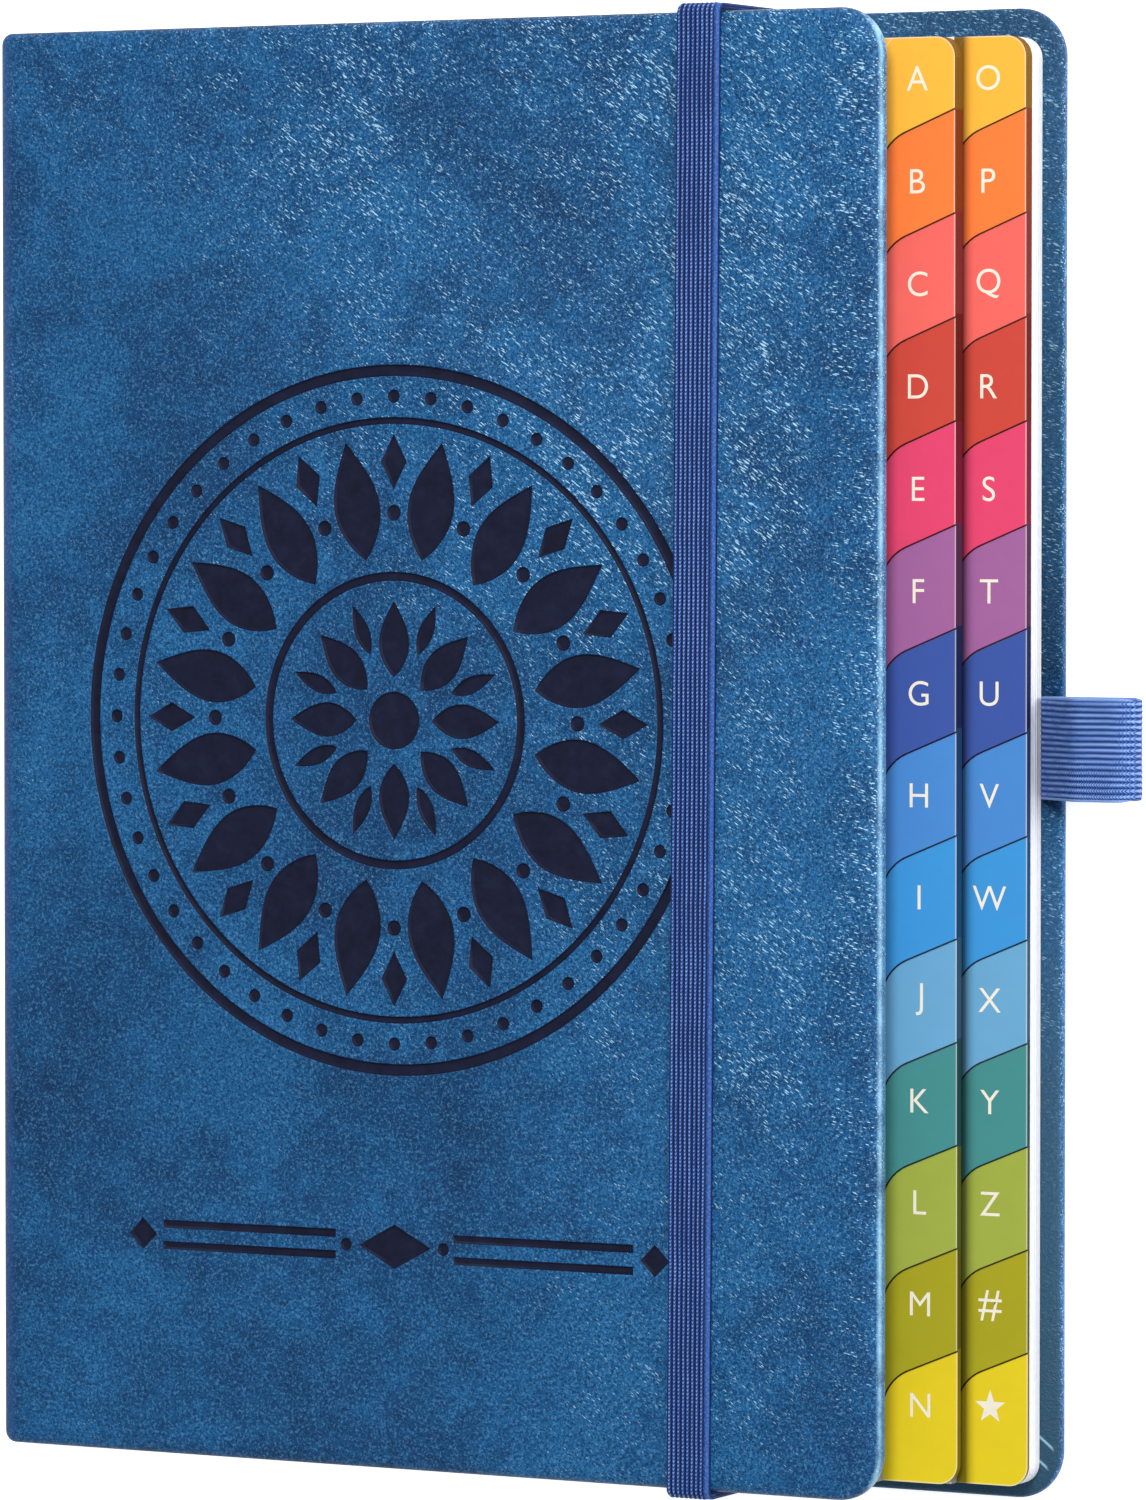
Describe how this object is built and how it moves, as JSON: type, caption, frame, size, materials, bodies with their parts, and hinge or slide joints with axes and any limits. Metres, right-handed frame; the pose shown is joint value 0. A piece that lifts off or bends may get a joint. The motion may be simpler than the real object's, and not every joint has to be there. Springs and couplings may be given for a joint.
{
  "type": "address book",
  "caption": "Hardback address book with a step-cut tabbed index in row colours, a ribbed elastic closing strap and a webbing pen loop; the cover opens and the index leaves fan out.",
  "frame": {"origin": "on the plane the back cover rests on, under the middle of the whole book's box", "axes": "+Z is the front cover's outward normal, +X runs from spine to fore-edge, +Y from tail to head"},
  "size_m": [0.1826, 0.2154, 0.019],
  "materials": {
    "cover_leather": "grained, semi-gloss",
    "board": "plain grey board",
    "endpaper": "smooth uncoated",
    "page_paper": "smooth uncoated",
    "lining_cloth": "open gauze",
    "band_cloth": "corded ribbon",
    "elastic": "ribbed elastic webbing",
    "index_row_01": "printed card, satin",
    "index_row_02": "printed card, satin",
    "index_row_03": "printed card, satin",
    "index_row_04": "printed card, satin",
    "index_row_05": "printed card, satin",
    "index_row_06": "printed card, satin",
    "index_row_07": "printed card, satin",
    "index_row_08": "printed card, satin",
    "index_row_09": "printed card, satin",
    "index_row_10": "printed card, satin",
    "index_row_11": "printed card, satin",
    "index_row_12": "printed card, satin",
    "index_row_13": "printed card, satin",
    "index_row_14": "printed card, satin"
  },
  "bodies": {
    "book": {"back_cover_leather": "cover_leather", "back_cover_board": "board", "back_pastedown": "endpaper", "pen_loop_tongue": "elastic", "spine_leather": "cover_leather", "spine_board": "board", "spine_lining": "lining_cloth", "head_band": "band_cloth", "tail_band": "band_cloth", "back_flyleaf": "endpaper", "note_pages": "page_paper"},
    "front_cover": {"front_cover_leather": "cover_leather", "front_cover_board": "board", "front_pastedown": "endpaper"},
    "front_flyleaf": {"front_flyleaf": "endpaper"},
    "front_pages_1": {"front_pages_1": "page_paper"},
    "front_pages_2": {"front_pages_2": "page_paper"},
    "strap": {"elastic_strap": "elastic"},
    "pen_loop": {"pen_loop": "elastic"},
    "section_a": {"section_a": "index_row_01"},
    "section_b": {"section_b": "index_row_02"},
    "section_c": {"section_c": "index_row_03"},
    "section_d": {"section_d": "index_row_04"},
    "section_e": {"section_e": "index_row_05"},
    "section_f": {"section_f": "index_row_06"},
    "section_g": {"section_g": "index_row_07"},
    "section_h": {"section_h": "index_row_08"},
    "section_i": {"section_i": "index_row_09"},
    "section_j": {"section_j": "index_row_10"},
    "section_k": {"section_k": "index_row_11"},
    "section_l": {"section_l": "index_row_12"},
    "section_m": {"section_m": "index_row_13"},
    "section_n": {"section_n": "index_row_14"},
    "section_o": {"section_o": "index_row_01"},
    "section_p": {"section_p": "index_row_02"},
    "section_q": {"section_q": "index_row_03"},
    "section_r": {"section_r": "index_row_04"},
    "section_s": {"section_s": "index_row_05"},
    "section_t": {"section_t": "index_row_06"},
    "section_u": {"section_u": "index_row_07"},
    "section_v": {"section_v": "index_row_08"},
    "section_w": {"section_w": "index_row_09"},
    "section_x": {"section_x": "index_row_10"},
    "section_y": {"section_y": "index_row_11"},
    "section_z": {"section_z": "index_row_12"},
    "section_number": {"section_number": "index_row_13"},
    "section_star": {"section_star": "index_row_14"}
  },
  "joints": [
    {"name": "front_cover_open", "type": "hinge", "parent": "book", "child": "front_cover", "pos_m": [-0.0913, 0, 0.01823], "axis": [0, -1, 0], "range_deg": [0, 175]},
    {"name": "front_flyleaf_turn", "type": "hinge", "parent": "book", "child": "front_flyleaf", "pos_m": [-0.0913, 0, 0.01823], "axis": [0, -1, 0], "range_deg": [0, 172.88]},
    {"name": "front_pages_1_turn", "type": "hinge", "parent": "book", "child": "front_pages_1", "pos_m": [-0.0913, 0, 0.01823], "axis": [0, -1, 0], "range_deg": [0, 169.38]},
    {"name": "front_pages_2_turn", "type": "hinge", "parent": "book", "child": "front_pages_2", "pos_m": [-0.0913, 0, 0.01823], "axis": [0, -1, 0], "range_deg": [0, 165]},
    {"name": "section_a_turn", "type": "hinge", "parent": "book", "child": "section_a", "pos_m": [-0.08865, 0, 0.01115], "axis": [0, -1, 0], "range_deg": [0, 86.5]},
    {"name": "section_b_turn", "type": "hinge", "parent": "book", "child": "section_b", "pos_m": [-0.08865, 0, 0.01102], "axis": [0, -1, 0], "range_deg": [0, 83.43]},
    {"name": "section_c_turn", "type": "hinge", "parent": "book", "child": "section_c", "pos_m": [-0.08865, 0, 0.01089], "axis": [0, -1, 0], "range_deg": [0, 80.35]},
    {"name": "section_d_turn", "type": "hinge", "parent": "book", "child": "section_d", "pos_m": [-0.08865, 0, 0.01076], "axis": [0, -1, 0], "range_deg": [0, 77.28]},
    {"name": "section_e_turn", "type": "hinge", "parent": "book", "child": "section_e", "pos_m": [-0.08865, 0, 0.01063], "axis": [0, -1, 0], "range_deg": [0, 74.2]},
    {"name": "section_f_turn", "type": "hinge", "parent": "book", "child": "section_f", "pos_m": [-0.08865, 0, 0.0105], "axis": [0, -1, 0], "range_deg": [0, 71.13]},
    {"name": "section_g_turn", "type": "hinge", "parent": "book", "child": "section_g", "pos_m": [-0.08865, 0, 0.01037], "axis": [0, -1, 0], "range_deg": [0, 68.06]},
    {"name": "section_h_turn", "type": "hinge", "parent": "book", "child": "section_h", "pos_m": [-0.08865, 0, 0.01024], "axis": [0, -1, 0], "range_deg": [0, 64.98]},
    {"name": "section_i_turn", "type": "hinge", "parent": "book", "child": "section_i", "pos_m": [-0.08865, 0, 0.01011], "axis": [0, -1, 0], "range_deg": [0, 61.91]},
    {"name": "section_j_turn", "type": "hinge", "parent": "book", "child": "section_j", "pos_m": [-0.08865, 0, 0.00998], "axis": [0, -1, 0], "range_deg": [0, 58.83]},
    {"name": "section_k_turn", "type": "hinge", "parent": "book", "child": "section_k", "pos_m": [-0.08865, 0, 0.00985], "axis": [0, -1, 0], "range_deg": [0, 55.76]},
    {"name": "section_l_turn", "type": "hinge", "parent": "book", "child": "section_l", "pos_m": [-0.08865, 0, 0.00972], "axis": [0, -1, 0], "range_deg": [0, 52.69]},
    {"name": "section_m_turn", "type": "hinge", "parent": "book", "child": "section_m", "pos_m": [-0.08865, 0, 0.00959], "axis": [0, -1, 0], "range_deg": [0, 49.61]},
    {"name": "section_n_turn", "type": "hinge", "parent": "book", "child": "section_n", "pos_m": [-0.08865, 0, 0.00897], "axis": [0, -1, 0], "range_deg": [0, 46.54]},
    {"name": "section_o_turn", "type": "hinge", "parent": "book", "child": "section_o", "pos_m": [-0.08865, 0, 0.00835], "axis": [0, -1, 0], "range_deg": [0, 43.46]},
    {"name": "section_p_turn", "type": "hinge", "parent": "book", "child": "section_p", "pos_m": [-0.08865, 0, 0.00823], "axis": [0, -1, 0], "range_deg": [0, 40.39]},
    {"name": "section_q_turn", "type": "hinge", "parent": "book", "child": "section_q", "pos_m": [-0.08865, 0, 0.00812], "axis": [0, -1, 0], "range_deg": [0, 37.31]},
    {"name": "section_r_turn", "type": "hinge", "parent": "book", "child": "section_r", "pos_m": [-0.08865, 0, 0.008], "axis": [0, -1, 0], "range_deg": [0, 34.24]},
    {"name": "section_s_turn", "type": "hinge", "parent": "book", "child": "section_s", "pos_m": [-0.08865, 0, 0.00788], "axis": [0, -1, 0], "range_deg": [0, 31.17]},
    {"name": "section_t_turn", "type": "hinge", "parent": "book", "child": "section_t", "pos_m": [-0.08865, 0, 0.00775], "axis": [0, -1, 0], "range_deg": [0, 28.09]},
    {"name": "section_u_turn", "type": "hinge", "parent": "book", "child": "section_u", "pos_m": [-0.08865, 0, 0.00764], "axis": [0, -1, 0], "range_deg": [0, 25.02]},
    {"name": "section_v_turn", "type": "hinge", "parent": "book", "child": "section_v", "pos_m": [-0.08865, 0, 0.00751], "axis": [0, -1, 0], "range_deg": [0, 21.94]},
    {"name": "section_w_turn", "type": "hinge", "parent": "book", "child": "section_w", "pos_m": [-0.08865, 0, 0.00739], "axis": [0, -1, 0], "range_deg": [0, 18.87]},
    {"name": "section_x_turn", "type": "hinge", "parent": "book", "child": "section_x", "pos_m": [-0.08865, 0, 0.00728], "axis": [0, -1, 0], "range_deg": [0, 15.8]},
    {"name": "section_y_turn", "type": "hinge", "parent": "book", "child": "section_y", "pos_m": [-0.08865, 0, 0.00715], "axis": [0, -1, 0], "range_deg": [0, 12.72]},
    {"name": "section_z_turn", "type": "hinge", "parent": "book", "child": "section_z", "pos_m": [-0.08865, 0, 0.00703], "axis": [0, -1, 0], "range_deg": [0, 9.65]},
    {"name": "section_number_turn", "type": "hinge", "parent": "book", "child": "section_number", "pos_m": [-0.08865, 0, 0.00692], "axis": [0, -1, 0], "range_deg": [0, 6.57]},
    {"name": "section_star_turn", "type": "hinge", "parent": "book", "child": "section_star", "pos_m": [-0.08865, 0, 0.00658], "axis": [0, -1, 0], "range_deg": [0, 3.5]},
    {"name": "strap_release", "type": "slide", "parent": "book", "child": "strap", "axis": [0, 0, -1], "range_m": [0, 0.0191], "deforming": ["elastic_strap"]},
    {"name": "pen_loop_flex", "type": "hinge", "parent": "book", "child": "pen_loop", "pos_m": [0.0756, 0.0012, 0.0037], "axis": [0, -1, 0], "range_deg": [0, 40], "stiffness_Nm_per_rad": 0.004}
  ],
  "couplings": [
    {"joint": "front_flyleaf_turn", "follows": "front_cover_open", "ratio": 0.985},
    {"joint": "front_pages_1_turn", "follows": "front_cover_open", "ratio": 0.965},
    {"joint": "front_pages_2_turn", "follows": "front_cover_open", "ratio": 0.94},
    {"joint": "section_a_turn", "follows": "front_cover_open", "ratio": 0.49143},
    {"joint": "section_b_turn", "follows": "front_cover_open", "ratio": 0.47386},
    {"joint": "section_c_turn", "follows": "front_cover_open", "ratio": 0.4563},
    {"joint": "section_d_turn", "follows": "front_cover_open", "ratio": 0.43873},
    {"joint": "section_e_turn", "follows": "front_cover_open", "ratio": 0.42116},
    {"joint": "section_f_turn", "follows": "front_cover_open", "ratio": 0.4036},
    {"joint": "section_g_turn", "follows": "front_cover_open", "ratio": 0.38603},
    {"joint": "section_h_turn", "follows": "front_cover_open", "ratio": 0.36847},
    {"joint": "section_i_turn", "follows": "front_cover_open", "ratio": 0.3509},
    {"joint": "section_j_turn", "follows": "front_cover_open", "ratio": 0.33333},
    {"joint": "section_k_turn", "follows": "front_cover_open", "ratio": 0.31577},
    {"joint": "section_l_turn", "follows": "front_cover_open", "ratio": 0.2982},
    {"joint": "section_m_turn", "follows": "front_cover_open", "ratio": 0.28064},
    {"joint": "section_n_turn", "follows": "front_cover_open", "ratio": 0.26307},
    {"joint": "section_o_turn", "follows": "front_cover_open", "ratio": 0.2455},
    {"joint": "section_p_turn", "follows": "front_cover_open", "ratio": 0.22794},
    {"joint": "section_q_turn", "follows": "front_cover_open", "ratio": 0.21037},
    {"joint": "section_r_turn", "follows": "front_cover_open", "ratio": 0.1928},
    {"joint": "section_s_turn", "follows": "front_cover_open", "ratio": 0.17524},
    {"joint": "section_t_turn", "follows": "front_cover_open", "ratio": 0.15767},
    {"joint": "section_u_turn", "follows": "front_cover_open", "ratio": 0.14011},
    {"joint": "section_v_turn", "follows": "front_cover_open", "ratio": 0.12254},
    {"joint": "section_w_turn", "follows": "front_cover_open", "ratio": 0.10497},
    {"joint": "section_x_turn", "follows": "front_cover_open", "ratio": 0.087407},
    {"joint": "section_y_turn", "follows": "front_cover_open", "ratio": 0.069841},
    {"joint": "section_z_turn", "follows": "front_cover_open", "ratio": 0.052275},
    {"joint": "section_number_turn", "follows": "front_cover_open", "ratio": 0.034709},
    {"joint": "section_star_turn", "follows": "front_cover_open", "ratio": 0.017143},
    {"joint": "strap_release", "follows": "front_cover_open", "m_per_rad": 0.0062207}
  ]
}
